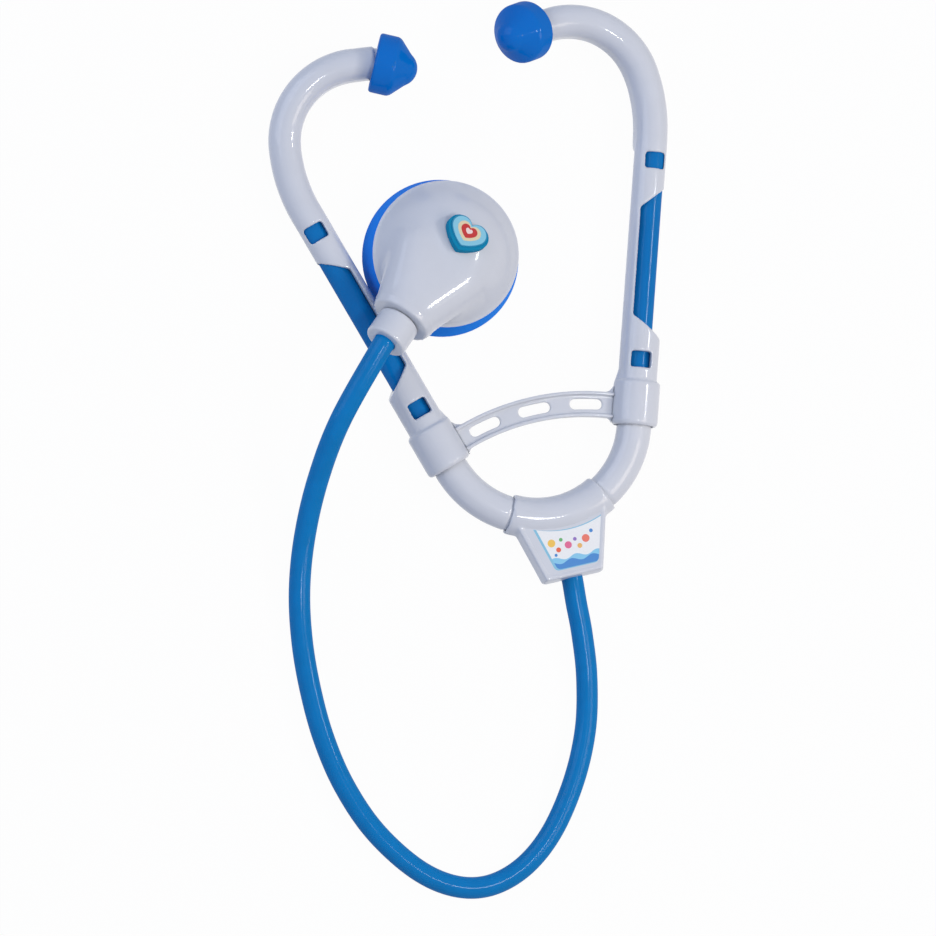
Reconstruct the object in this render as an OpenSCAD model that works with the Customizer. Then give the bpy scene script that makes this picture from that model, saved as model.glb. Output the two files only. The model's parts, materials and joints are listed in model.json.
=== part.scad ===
// Toy stethoscope, lying on its back on a table with its hose in a loop.
// The origin is on the back of the T block, under the middle of its label panel.
// +Y runs along the line of symmetry to the ear tips, +X to the right, +Z up.

/* [Bow] */
// Radius of the bow's centre line, from arm to arm
bow_r = 32; // [29:0.5:36]
// Angle from the bow's lowest point to each end
bow_half_angle = 72.5; // [68:0.5:78]
// Distance from the origin up to the bow's lowest point
bow_low_y = 12.5; // [11:0.5:15]
// Radius of the bow's two tubes
tube_r = 5.6; // [5:0.1:6]

/* [T block] */
// Radius of the barrel that holds the tubes
barrel_r = 6.5; // [6.2:0.1:7.2]
// Angle from the middle of the barrel to each end
barrel_half_angle = 29; // [25:1:34]
// Width of the block at its lower edge
block_w = 20; // [18:0.5:26]
// Distance from the origin down to the block's lower edge
block_low_y = 8.2; // [7:0.2:11]
// Lean of the block's sides
block_lean = 16; // [8:1:20]
// Radius of the block's lower corners
block_corner_r = 2; // [1:0.25:3]
// Height of the block's front face above the middle of the bow
block_front_h = 5.4; // [4.6:0.1:5.8]
// Draft of the block's sides, from its middle to its front and back
block_draft = 10; // [6:1:12]
// Distance from the block's side to the label
label_rim = 2.4; // [2:0.1:3]
// Depth of the label panel
label_depth = 0.5; // [0.4:0.1:1]
// Thickness of the label
label_t = 0.3; // [0.2:0.1:0.4]

/* [Arms] */
// Radius of the collar at the foot of each arm
collar_r = 7.5; // [7.2:0.1:8.4]
// Length of the collar
collar_l = 14.6; // [12:0.2:18]
// Radius of the lower part of an arm
arm_r = 6.3; // [6:0.1:7]
// Distance along an arm to the outer lip of its lower mouth
mouth_low = 28.4; // [26:0.2:30]
// Distance along an arm to the outer lip of its upper mouth
mouth_high = 79; // [74:0.5:82]
// Length of the upper mouth's slanting edge, along the arm
mouth_high_slant = 8.4; // [6:0.2:10]
// Length of the lower mouth's slanting edge, along the arm
mouth_low_slant = 7.2; // [5:0.2:9]
// Distance from the arm's axis to the inner rib
rib_n = 3.7; // [3.4:0.1:4.2]
// Distance along an arm to its lower window
window_low = 21.4; // [20.6:0.2:22]
// Distance along an arm to its upper window
window_high = 86; // [84.5:0.5:87]
// Width of the windows
window_w = 6.4; // [5:0.2:7]
// Length of the windows
window_l = 5.2; // [4:0.2:6]
// Radius of the tube inside each arm
insert_r = 3.8; // [3.4:0.1:3.9]

/* [Hooks] */
// Half the width of a hook, seen from the front
hook_r = 5.2; // [4.8:0.1:5.4]
// Distance along an arm to the start of the hook
hook_start = 93.4; // [91:0.2:97]
// Radius of the hook's slow first bend
hook_bend_1 = 50; // [40:1:60]
// Turn of the first bend
hook_turn_1 = 25; // [18:1:34]
// Radius of the hook's tight second bend
hook_bend_2 = 24.5; // [20:0.5:30]
// Heading of the hook after its second bend
hook_turn_2 = 113; // [100:1:118]
// Straight end of the hook, up to the ear tip's rim
hook_end_l = 7.2; // [5:0.2:8]
// Lean of the hooks towards the front
hook_lean = 6; // [0:1:12]

/* [Ear tips] */
// Radius of an ear tip
tip_r = 9.6; // [8.6:0.1:10.4]
// Length of an ear tip
tip_l = 14; // [12:0.5:16]
// Heading of the left ear tip, from the arm's own
left_tip_turn = 133; // [118:1:138]
// Heading of the right ear tip, from the arm's own
right_tip_turn = 118; // [114:1:138]
// Tilt of the left ear tip towards the front
left_tip_rise = 0; // [0:1:20]
// Tilt of the right ear tip towards the front
right_tip_rise = 33; // [0:1:36]

/* [Leaf spring] */
// Radius of the spring's arch
spring_arch_r = 77; // [65:1:100]
// Distance from the origin to the middle of the arch
spring_y = 47.2; // [45:0.2:50]
// Width of the spring
spring_w = 8.2; // [7:0.2:9]
// Height of the spring's raised edges
spring_rim_h = 4.2; // [3:0.2:6]
// Length of a slot in the spring
slot_l = 10.6; // [8:0.2:12]
// Width of a slot in the spring
slot_w = 3.4; // [2.4:0.2:4]

/* [Chest piece] */
// Radius of the chest piece's ring at its lower edge
ring_r = 25.4; // [24:0.2:28]
// Taper of the ring, from its lower edge in to its upper one
ring_taper = 1.9; // [1:0.1:2.4]
// Height of the ring
ring_h = 13; // [11:0.5:13]
// Step from the ring's upper edge in to the dome's foot
dome_step = 0.15; // [0.1:0.05:0.6]
// Height of the dome above the ring
dome_h = 13; // [12:0.5:14]
// Rise of the stem from the dome
stem_rise = 16; // [15:1:20]
// Height of the stem's axis above the ring, at the end of the neck
stem_lift = 10.5; // [10:0.5:13]
// Reach of the neck past the dome's foot
neck_reach = 4.6; // [4:0.2:7]
// Radius of the neck at its end
neck_r = 9.2; // [8.4:0.1:9.4]
// Flare of the neck's sides towards the dome
neck_splay = 19; // [10:1:24]
// Radius of the ferrule between neck and hose
ferrule_r = 6.8; // [6:0.1:7.4]
// Length of the ferrule outside the neck
ferrule_l = 9; // [7:0.5:11]
// Direction of the stem, seen from above
chest_turn = 221.5; // [220:0.5:223]
// Height of the heart badge
badge_h = 2; // [1:0.25:3]
// Width of the heart badge
badge_w = 14.4; // [10:0.2:16]

/* [Hose] */
// Radius of the hose
hose_r = 3.45; // [3:0.05:3.6]

/* [Hidden] */
$fn = 64;
fine_fn = 200;
white = "#e4e4f0";
blue = "#0f6fc0";

// Clearances: a push fit, a running fit, a seam that shows, and room to swing
push_gap = 0.05;
run_gap = 0.05;
seam_gap = 0.3;
swing_gap = 0.6;
overrun = 1;

// The bow's frame: its middle plane stands one collar radius above the table
mid_z = collar_r;
bow_centre_y = bow_low_y + bow_r;
arm_tilt = 90 - bow_half_angle;
bow_end_x = bow_r * sin(bow_half_angle);
bow_end_y = bow_centre_y - bow_r * cos(bow_half_angle);

// T block
spigot_step = 0.4;
spigot_r = tube_r - spigot_step;
spigot_inner_angle = 9;
seam_angle = 0.6;
over_angle = 1;
block_top_y = bow_low_y;
block_half_w = block_w / 2;
block_grow = tan(block_lean);
corner_run = block_corner_r / tan((90 + block_lean) / 2);
face_r = bow_r + sqrt(barrel_r * barrel_r - block_front_h * block_front_h);
socket_l = 6.5;
hose_exit_z = 6;
screw_r = 1.5;
screw_head_r = 2.6;
screw_head_h = 1.4;
screw_sink = 0.6;
screw_l = 7.5;
screw_x = 5.5;
screw_y = 0.5;
screw_slot_w = 0.8;

// Collars, hinged on stub pins at the ends of the bow
collar_low_round = 1.6;
collar_high_round = 1;
tube_seat_l = 9;
seat_step = 0.2;
pivot_e = 5;
pivot_r = 2;
pivot_wall = 0.7;
pivot_sink = 0.4;
pivot_reach = collar_r - pivot_wall;
socket_r = tube_r + swing_gap;
socket_depth = tube_seat_l + swing_gap;

// Arms
insert_n = 0.15;
insert_low = 18.2;
insert_high = 89.5;
hook_n = arm_r - hook_r;
blend_low = 58;
blend_high = 70;
hook_low = insert_high + push_gap;
hook_step = 0.05;
hook_back_h = 6.6;
wedge_low = 80;
wedge_h = 4.4;
hook_back_round = 1.6;
tip_seat_l = 7;
tip_skirt_l = 6.6;
tip_flare = 0.5;
tip_nose_r = 5.8;
tip_edge_r = 0.5;
cone_run_in = 0.2;

// Leaf spring
spring_web_t = 1.8;
spring_rim_w = 1.1;
spring_span = 40;
spring_foot_r = 2;
web_high = 18;
slot_angles = [-12.6, 0, 12.6];
spring_centre_y = spring_y - spring_arch_r;

// Chest piece, lying close to the left arm
chest_e = 59.6;
chest_gap = 1.9;
ring_wall = 2.4;
ring_round = 1;
ring_top_r = ring_r - ring_taper;
dome_r = ring_top_r - dome_step;
neck_end = dome_r + neck_reach;
stem_h = ring_h + stem_lift;
ring_mid_r = ring_r - ring_taper * (mid_z - ring_round) / (ring_h - ring_round);
chest_n = arm_r + chest_gap + ring_mid_r;
chest_x = chest_n * cos(arm_tilt) - chest_e * sin(arm_tilt) - bow_end_x;
chest_y = chest_n * sin(arm_tilt) + chest_e * cos(arm_tilt) + bow_end_y;
cup_r = ring_top_r - ring_wall;
lip_h = 1.2;
film_t = 0.8;
film_inset = 1.2;
film_r = cup_r + film_inset;
dome_wall_h = 2.4;
dome_round = 2;
plug_l = 3;
plug_wall = 2.2;
hollow_h = 3;
neck_l = 27;
stem_pin_r = 4.4;
stem_pin_l = 8;
bead_r = 0.5;
bead_l = 1.2;
ferrule_round = 0.8;
ferrule_seat_l = 6;
badge_s = -6.9;
badge_side = 1;
badge_turn = 4;
badge_seat = 1.4;
heart_steps = 8;
lobe_share = 0.27;
point_share = 0.5;
side_share = 1;
sticker_rim = 0.9;
sticker_shift = 0.5;
sticker_t = 0.25;
crown_r = dome_r - dome_round;
crown_h = dome_h - dome_wall_h;
arch_r = (crown_r * crown_r + crown_h * crown_h) / (2 * crown_h);
arch_z = ring_h + dome_h - arch_r;

// The hose's route on the table, from the T block round the loop
hose_route = [
    [-0.4, -16, 5.6], [-0.7, -26, 4.8], [-2.2, -40, 3.7], [-6.4, -56, 3.5],
    [-14, -71.4, 3.5], [-24.6, -85.4, 3.5], [-36, -94, 3.5], [-48, -97.2, 3.5], [-59.2, -94.6, 3.5],
    [-69.8, -86.4, 3.5], [-79.8, -72, 3.5], [-86, -56, 3.5], [-89, -40, 3.5], [-89.7, -24, 3.5],
    [-88.8, -8, 3.6], [-86, 8, 4.4], [-80.8, 24.2, 7], [-73.4, 40.6, 13.4], [-63.6, 56.6, 22.4]
];
hose_lead = 3;
// The whole route: straight out of the T block's socket, and straight into the ferrule
hose_points = concat(
    [[0, socket_l - block_low_y - push_gap, hose_exit_z], [0, -block_low_y, hose_exit_z]],
    hose_route,
    [for (out = [hose_lead, 0, push_gap - ferrule_seat_l]) stem_point(seam_gap + ferrule_l + out)]
);
hose_sides = 12;
hose_steps = 3;

// A collar, sleeve or bar of revolution with both outer edges rounded
module bar_profile(r, l, low_round, high_round) {
    translate([0, low_round]) square([r, l - low_round - high_round]);
    square([r - low_round, l - high_round]);
    translate([0, low_round]) square([r - high_round, l - low_round]);
    translate([r - low_round, low_round]) circle(low_round);
    translate([r - high_round, l - high_round]) circle(high_round);
}

// A stretch of tube on the bow's circle, between two angles from its lowest point
module on_bow(r, from_angle, to_angle) {
    translate([0, bow_centre_y, mid_z]) rotate([0, 0, from_angle - 90])
        rotate_extrude(angle = to_angle - from_angle) translate([bow_r, 0]) circle(r);
}

// Places its children in the left arm's frame: +Y along the arm, +X inwards, at the bow's end
module left_arm_frame() {
    translate([-bow_end_x, bow_end_y, mid_z]) rotate([0, 0, arm_tilt]) children();
}

// The left piece as it is, or the right one as its mirror image
module on_side(side) {
    if (side == "left") children();
    else mirror([1, 0, 0]) children();
}

// A shape of revolution laid along an arm
module along_arm(start) {
    translate([0, start, 0]) rotate([-90, 0, 0]) children();
}

// T block

module block_outline(inset) {
    half_w = block_half_w - inset / cos(block_lean) + inset * block_grow;
    low_y = inset - block_low_y;
    top_y = block_top_y;
    top_half_w = half_w + (top_y - low_y) * block_grow;
    side_x = corner_run * sin(block_lean);
    side_y = corner_run * cos(block_lean);
    polygon([
        [corner_run - half_w, low_y], [half_w - corner_run, low_y],
        [half_w + side_x, low_y + side_y], [top_half_w, top_y],
        [-top_half_w, top_y], [-half_w - side_x, low_y + side_y]
    ]);
    for (x = [corner_run - half_w, half_w - corner_run])
        translate([x, low_y + block_corner_r]) circle(block_corner_r);
}

module block_body(inset, low_z, high_z) {
    translate([0, 0, low_z]) difference() {
        linear_extrude(high_z - low_z) block_outline(inset);
        translate([0, bow_centre_y, -overrun]) cylinder(r = face_r - overrun, h = high_z - low_z + 2 * overrun);
    }
}

// Wedges that give the block's sides their draft, upwards from its middle
module draft_wedges() {
    reach = 2 * bow_r;
    for (side = [0, 1]) mirror([side, 0, 0]) translate([-block_half_w, -block_low_y, mid_z])
        rotate([0, 0, block_lean]) rotate([0, block_draft, 0]) translate([-reach, -reach, -overrun])
            cube([reach, 2 * reach, reach]);
    translate([0, -block_low_y, mid_z]) rotate([-block_draft, 0, 0]) translate([-reach, -reach, -overrun])
        cube([2 * reach, reach, reach]);
}

// The block between its middle and its front, or its mirror image towards the back
module block_half(h) {
    difference() {
        block_body(0, mid_z, mid_z + h);
        draft_wedges();
    }
}

module barrel() {
    on_bow(barrel_r, -barrel_half_angle, barrel_half_angle);
}

module block_hollows() {
    for (side = [-1, 1])
        on_bow(spigot_r + push_gap, side * (spigot_inner_angle - over_angle), side * (barrel_half_angle + over_angle));
    translate([0, socket_l - block_low_y, hose_exit_z]) rotate([90, 0, 0])
        cylinder(r = hose_r + push_gap, h = socket_l + overrun);
    for (x = [-screw_x, screw_x]) translate([x, screw_y, 0]) {
        translate([0, 0, -overrun]) cylinder(r = screw_head_r + push_gap, h = screw_sink + screw_head_h + overrun);
        cylinder(r = screw_r + push_gap, h = screw_sink + screw_head_h + screw_l + push_gap);
    }
}

module half_space(low_z, high_z) {
    reach = 2 * bow_r;
    translate([-reach, -reach, low_z]) cube([2 * reach, 2 * reach, high_z - low_z]);
}

module yoke_front_shell() {
    front_z = mid_z + block_front_h;
    color(white) difference() {
        union() {
            difference() {
                block_half(block_front_h);
                block_body(label_rim, front_z - label_depth, front_z + overrun);
            }
            intersection() {
                barrel();
                half_space(mid_z, mid_z + barrel_r);
            }
        }
        block_hollows();
    }
}

module yoke_back_shell() {
    color(white) difference() {
        union() {
            translate([0, 0, 2 * mid_z]) mirror([0, 0, 1]) block_half(mid_z);
            intersection() {
                barrel();
                half_space(mid_z - barrel_r, mid_z);
            }
        }
        block_hollows();
    }
}

module shell_screws() {
    color("#b8bcc4") for (x = [-screw_x, screw_x]) translate([x, screw_y, screw_sink]) difference() {
        union() {
            cylinder(r = screw_head_r, h = screw_head_h);
            cylinder(r = screw_r, h = screw_head_h + screw_l);
        }
        for (turn = [0, 90]) rotate([0, 0, turn]) translate([-screw_head_r / 2, -screw_slot_w / 2, -overrun])
            cube([screw_head_r, screw_slot_w, overrun + screw_slot_w]);
    }
}

module front_label() {
    floor_z = mid_z + block_front_h - label_depth;
    color("#9fd4ea") difference() {
        block_body(label_rim + push_gap, floor_z, floor_z + label_t);
        on_bow(barrel_r + push_gap, -barrel_half_angle, barrel_half_angle);
    }
}

// Bow

module yoke_tube(side) {
    color(white) on_side(side) {
        on_bow(tube_r, -bow_half_angle, -barrel_half_angle - seam_angle);
        on_bow(spigot_r, -barrel_half_angle - seam_angle - over_angle, -spigot_inner_angle);
        left_arm_frame() difference() {
            along_arm(-overrun) cylinder(r = tube_r - seat_step, h = tube_seat_l + overrun);
            translate([0, pivot_e, -tube_r - overrun]) cylinder(r = pivot_r + run_gap, h = 2 * (tube_r + overrun));
        }
    }
}

// Pin put in from the back, through the collar's rear wall and the end of the bow's tube
module pivot_pin(gap, end_gap) {
    translate([0, pivot_e, -collar_r - end_gap]) cylinder(r = pivot_r + gap, h = collar_r - pivot_sink + pivot_reach + end_gap);
}

module hinge_pin(side) {
    color(white) on_side(side) left_arm_frame() translate([0, 0, pivot_sink]) pivot_pin(0, 0);
}

// Arms

// A hook's section: round at the front, flat at the back
module hook_section(inset) {
    r = hook_r - inset;
    back = hook_back_h - inset;
    round_r = hook_back_round;
    circle(r);
    translate([-r, round_r - back]) square([2 * r, back - round_r]);
    translate([round_r - r, -back]) square([2 * (r - round_r), back]);
    for (x = [-1, 1]) translate([x * (r - round_r), round_r - back]) circle(round_r);
}

// Where the hook's two bends end, and the frame of its straight end, in the arm's frame
hook_p1 = [hook_n + hook_bend_1 * (1 - cos(hook_turn_1)), hook_start + hook_bend_1 * sin(hook_turn_1)];
hook_c2 = hook_p1 + hook_bend_2 * [cos(hook_turn_1), -sin(hook_turn_1)];
hook_p2 = hook_c2 - hook_bend_2 * [cos(hook_turn_2), -sin(hook_turn_2)];
hook_rim = hook_p2 + hook_end_l * [sin(hook_turn_2), cos(hook_turn_2)];

module hook_bend(centre, r, from_turn, to_turn, inset) {
    translate([centre.x, centre.y, 0]) rotate([0, 0, 180 - to_turn])
        rotate_extrude(angle = to_turn - from_turn) translate([r, 0]) hook_section(inset);
}

module hook_run(start, turn, low, high, inset) {
    translate([start.x, start.y, 0]) rotate([0, 0, -turn]) rotate([-90, 0, 0])
        translate([0, 0, low]) linear_extrude(high - low) mirror([0, 1]) hook_section(inset);
}

// Leans its children forwards about the hook's own axis
module hook_frame() {
    translate([hook_n, 0, 0]) rotate([0, -hook_lean, 0]) translate([-hook_n, 0, 0]) children();
}

// Slope that deepens the arm's back into the hook's
module hook_wedge() {
    w = 2 * (hook_r - hook_back_round);
    translate([hook_n - w / 2, 0, 0]) rotate([90, 0, 90]) linear_extrude(w) polygon([
        [wedge_low, 0], [wedge_low, -wedge_h],
        [hook_start, 2 * hook_step - hook_back_h], [hook_start, 0]
    ]);
}

// The hook's lengths run on a little inside one another
module hook() {
    hook_frame() {
        hook_wedge();
        hook_run([hook_n, hook_start], 0, hook_low - hook_start, overrun, 2 * hook_step);
        hook_bend([hook_n + hook_bend_1, hook_start], hook_bend_1, -over_angle, hook_turn_1 + over_angle, hook_step);
        hook_bend(hook_c2, hook_bend_2, hook_turn_1, hook_turn_2, 0);
        hook_run(hook_p2, hook_turn_2, -overrun, hook_end_l, hook_step);
        tip_seat(0);
    }
}

// The round end of the hook that the ear tip is pushed onto
module tip_seat(gap) {
    translate([hook_rim.x, hook_rim.y, 0]) rotate([0, 0, -hook_turn_2])
        along_arm(-hook_end_l / 2) cylinder(r = hook_r - hook_back_round / 2 + gap, h = hook_end_l / 2 + tip_seat_l + gap);
}

module arm_outside() {
    along_arm(0) rotate_extrude() bar_profile(collar_r, collar_l, collar_low_round, collar_high_round);
    along_arm(collar_l / 2) cylinder(r = arm_r, h = blend_low - collar_l / 2);
    intersection() {
        along_arm(blend_low - overrun) cylinder(r = arm_r, h = blend_high - blend_low + overrun);
        translate([hook_n, 0, 0]) along_arm(blend_low)
            cylinder(r1 = arm_r + hook_n, r2 = hook_r, h = blend_high - blend_low);
    }
    translate([hook_n, 0, 0]) along_arm(blend_high) cylinder(r = hook_r, h = hook_start - blend_high);
}

// Web that carries the spring's curve from the collar's top up onto the arm
module arm_web() {
    low = collar_l - collar_high_round;
    translate([0, 0, -spring_web_t / 2]) linear_extrude(spring_web_t)
        polygon([[0, low], [collar_r, low], [arm_r, web_high], [0, web_high]]);
}

module arm_relief() {
    reach = collar_r + overrun;
    translate([0, 0, -reach]) linear_extrude(2 * reach) polygon([
        [-reach, mouth_low - (reach - arm_r) * mouth_low_slant / (arm_r + rib_n)],
        [rib_n, mouth_low + mouth_low_slant], [rib_n, mouth_high - mouth_high_slant],
        [-reach, mouth_high + (reach - arm_r) * mouth_high_slant / (arm_r + rib_n)]
    ]);
}

module arm_window(centre_e) {
    translate([insert_n - window_w / 2, centre_e - window_l / 2, 0]) cube([window_w, window_l, collar_r]);
}

module arm(side) {
    color(white) on_side(side) left_arm_frame() difference() {
        union() {
            arm_outside();
            arm_web();
            hook();
        }
        along_arm(-overrun) cylinder(r = socket_r, h = socket_depth + overrun);
        translate([0, 0, pivot_sink + push_gap]) pivot_pin(push_gap, pivot_sink + overrun);
        arm_relief();
        translate([insert_n, 0, 0]) along_arm(insert_low) cylinder(r = insert_r + push_gap, h = insert_high - insert_low);
        for (e = [window_low, window_high]) arm_window(e);
    }
}

module arm_tube(side) {
    color(blue) on_side(side) left_arm_frame() translate([insert_n, 0, 0])
        along_arm(insert_low + push_gap) cylinder(r = insert_r, h = insert_high - insert_low - 2 * push_gap);
}

// Ear tip: a flared skirt, a blunt cone and a rounded nose
module tip_profile() {
    skirt_top_r = tip_r - tip_flare;
    cone_y = tip_skirt_l + tip_edge_r;
    nose_y = tip_l - tip_nose_r;
    cone_foot = [skirt_top_r, cone_y - nose_y];
    touch_angle = atan2(cone_foot.y, cone_foot.x) + acos(tip_nose_r / norm(cone_foot));
    inner_r = tip_nose_r - cone_run_in;
    polygon([
        [0, 0], [tip_r - tip_edge_r, 0], [tip_r, tip_edge_r],
        [skirt_top_r + tip_edge_r, tip_skirt_l - tip_edge_r], [skirt_top_r, cone_y],
        [inner_r * cos(touch_angle), nose_y + inner_r * sin(touch_angle)], [0, nose_y]
    ]);
    intersection() {
        translate([0, nose_y]) circle(tip_nose_r);
        square([tip_nose_r, tip_l]);
    }
}

module ear_tip(side) {
    turn = side == "left" ? left_tip_turn : right_tip_turn;
    rise = side == "left" ? left_tip_rise : right_tip_rise;
    color(blue) on_side(side) left_arm_frame() hook_frame() difference() {
        translate([hook_rim.x, hook_rim.y, 0]) rotate([0, 0, -turn]) rotate([rise, 0, 0])
            along_arm(0) rotate_extrude() tip_profile();
        tip_seat(push_gap);
        hook_run(hook_p2, hook_turn_2, 0, hook_end_l, 0);
    }
}

// Leaf spring

module spring_band(r_low, r_high, t) {
    translate([0, spring_centre_y, mid_z]) rotate([0, 0, 90 - spring_span / 2])
        rotate_extrude(angle = spring_span) translate([r_low, -t / 2]) square([r_high - r_low, t]);
}

module spring_slot(angle) {
    run = slot_l - slot_w;
    turn = run / spring_arch_r * 180 / PI;
    reach = spring_rim_h + overrun;
    translate([0, spring_centre_y, mid_z - reach / 2]) {
        rotate([0, 0, 90 + angle - turn / 2]) rotate_extrude(angle = turn)
            translate([spring_arch_r - slot_w / 2, 0]) square([slot_w, reach]);
        for (end = [-1, 1]) rotate([0, 0, 90 + angle + end * turn / 2]) translate([spring_arch_r, 0, 0])
            cylinder(r = slot_w / 2, h = reach);
    }
}

// Web that rounds the corner between the spring's edge and the arm's side
module spring_gusset(corner, r, up) {
    translate([corner.x, corner.y, -spring_web_t / 2]) linear_extrude(spring_web_t) difference() {
        translate([-overrun, up > 0 ? -overrun : -r]) square([r + overrun, r + overrun]);
        translate([r, up * r]) circle(r);
    }
}

module spring_ends() {
    half_w = spring_w / 2;
    end_e = spring_end_e();
    spring_gusset([collar_r, end_e + half_w], collar_l - collar_high_round - end_e - half_w, 1);
    spring_gusset([collar_r, end_e - half_w], spring_foot_r, -1);
}

// Distance along the arm at which the arch's centre line meets the collar
function spring_end_e() =
    let (x = collar_r * cos(arm_tilt) - bow_end_x,
         y = spring_centre_y + sqrt(spring_arch_r * spring_arch_r - x * x))
    -(x + bow_end_x) * sin(arm_tilt) + (y - bow_end_y) * cos(arm_tilt);

module arm_envelope(gap) {
    along_arm(-gap) cylinder(r = collar_r + gap, h = collar_l + 2 * gap);
    along_arm(0) cylinder(r = arm_r + gap, h = mouth_low);
}

module leaf_spring() {
    low_r = spring_arch_r - spring_w / 2;
    high_r = spring_arch_r + spring_w / 2;
    color(white) difference() {
        union() {
            spring_band(low_r, high_r, spring_web_t);
            spring_band(low_r, low_r + spring_rim_w, spring_rim_h);
            spring_band(high_r - spring_rim_w, high_r, spring_rim_h);
            for (side = ["left", "right"]) on_side(side) left_arm_frame() spring_ends();
        }
        for (angle = slot_angles) spring_slot(angle);
        for (side = ["left", "right"]) on_side(side) left_arm_frame() {
            arm_envelope(push_gap);
            translate([-2 * collar_r, -collar_l, -collar_l]) cube([2 * collar_r, 3 * collar_l, 2 * collar_l]);
        }
    }
}

// Chest piece: +X towards the stem, +Z out of the dome, at the middle of the ring's lower face

module chest_frame() {
    translate([chest_x, chest_y, 0]) rotate([0, 0, chest_turn]) children();
}

// A point on the rising stem's axis, at a distance from the end of the neck
function stem_point(out) =
    let (reach = neck_end + out * cos(stem_rise))
    [chest_x + reach * cos(chest_turn), chest_y + reach * sin(chest_turn), stem_h + out * sin(stem_rise)];

// Along the rising stem, measured from the end of the neck
module along_stem(start) {
    translate([neck_end, 0, stem_h]) rotate([0, 90 - stem_rise, 0]) translate([0, 0, start]) children();
}

module dome_profile() {
    intersection() {
        translate([0, dome_h - arch_r]) circle(arch_r, $fn = fine_fn);
        bar_profile(dome_r, dome_h, 0, dome_round);
    }
}

// Dome with a plug that seats in the ring, and the neck
module chest_dome() {
    color(white) chest_frame() difference() {
        union() {
            translate([0, 0, ring_h]) rotate_extrude() dome_profile();
            translate([0, 0, ring_h - plug_l]) cylinder(r = cup_r - push_gap, h = plug_l + overrun);
            intersection() {
                neck();
                translate([-2 * ring_r, -2 * ring_r, ring_h]) cube([4 * ring_r, 4 * ring_r, 2 * stem_h]);
            }
        }
        translate([0, 0, ring_h - plug_l - overrun])
            cylinder(r = cup_r - plug_wall, h = plug_l + overrun + hollow_h);
        along_stem(-stem_pin_l) stem_pin(run_gap, seam_gap, stem_pin_l + overrun);
    }
}

// The neck: two splayed round bars and the wedge between them
module neck() {
    spread = neck_l * tan(neck_splay);
    along_stem(0) intersection() {
        union() {
            for (side = [-1, 1]) rotate([180 + side * neck_splay, 0, 0]) translate([0, 0, -neck_r])
                cylinder(r = neck_r, h = neck_r + neck_l / cos(neck_splay));
            rotate([0, -90, 0]) translate([0, 0, -neck_r]) linear_extrude(2 * neck_r)
                polygon([[0, 0], [-neck_l, spread], [-neck_l, -spread]]);
        }
        translate([-2 * ring_r, -2 * ring_r, -neck_l]) cube([4 * ring_r, 4 * ring_r, neck_l]);
    }
}

// The ferrule's pin in the neck, with a snap bead near its end
module stem_pin(gap, end_gap, l) {
    translate([0, 0, -end_gap]) cylinder(r = stem_pin_r + gap, h = l + end_gap);
    translate([0, 0, bead_l]) rotate_extrude() translate([stem_pin_r + gap - bead_r, 0]) circle(2 * bead_r);
}

module chest_ring() {
    color(blue) chest_frame() rotate_extrude() difference() {
        union() {
            polygon([[0, 0], [ring_r - ring_round, 0], [ring_r, ring_round], [ring_top_r, ring_h], [0, ring_h]]);
            translate([ring_r - ring_round, ring_round]) circle(ring_round);
        }
        translate([0, -overrun]) square([cup_r, ring_h + 2 * overrun]);
        translate([0, lip_h - push_gap]) square([film_r + push_gap, film_t + 2 * push_gap]);
    }
}

module diaphragm() {
    color("#f2f2f6") chest_frame() translate([0, 0, lip_h]) cylinder(r = film_r, h = film_t);
}

module stem_ferrule() {
    color(white) chest_frame() along_stem(-stem_pin_l) difference() {
        union() {
            stem_pin(0, 0, stem_pin_l + seam_gap + ferrule_round);
            translate([0, 0, stem_pin_l + seam_gap])
                rotate_extrude() bar_profile(ferrule_r, ferrule_l, ferrule_round, ferrule_round);
        }
        translate([0, 0, stem_pin_l + seam_gap + ferrule_l - ferrule_seat_l])
            cylinder(r = hose_r + push_gap, h = ferrule_seat_l + overrun);
    }
}

// Half a heart from its point to its notch: a slack side arc, then the lobe that it touches
function heart_half(w) =
    let (lobe_r = lobe_share * w,
         lobe = [w / 2 - lobe_r, 0],
         point = [0, -point_share * w],
         side_r = side_share * w,
         d = norm(lobe - point),
         along = (side_r * side_r + d * d - pow(side_r - lobe_r, 2)) / (2 * d),
         across = sqrt(side_r * side_r - along * along),
         run = (lobe - point) / d,
         centre = point + along * run + across * [-run.y, run.x],
         point_angle = atan2(point.y - centre.y, point.x - centre.x),
         touch_angle = atan2(lobe.y - centre.y, lobe.x - centre.x),
         notch_angle = 180 - acos(lobe.x / lobe_r))
    concat(arc_points(centre, side_r, point_angle, touch_angle, heart_steps),
        arc_points(lobe, lobe_r, touch_angle, notch_angle, 2 * heart_steps));

function arc_points(centre, r, from_angle, to_angle, steps) =
    [for (i = [0 : steps - 1]) let (a = from_angle + (to_angle - from_angle) * i / steps)
        centre + r * [cos(a), sin(a)]];

module heart_outline(w) {
    half = heart_half(w);
    notch = [0, sqrt(pow(lobe_share * w, 2) - pow(w / 2 - lobe_share * w, 2))];
    polygon(concat(half, [notch], [for (i = [len(half) - 1 : -1 : 1]) [-half[i].x, half[i].y]]));
}

// Places its children on the dome's crown, square to it
module on_crown() {
    tilt = asin(badge_s / arch_r);
    roll = asin(badge_side / arch_r);
    translate([0, 0, arch_z]) rotate([-roll, tilt, 0]) translate([0, 0, arch_r]) rotate([0, 0, 90 + badge_turn]) children();
}

module heart_badge() {
    color("#2fa0b8") chest_frame() difference() {
        on_crown() translate([0, 0, -badge_seat]) linear_extrude(badge_h + badge_seat) heart_outline(badge_w);
        translate([0, 0, arch_z]) sphere(r = arch_r + push_gap, $fn = fine_fn);
    }
}

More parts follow.
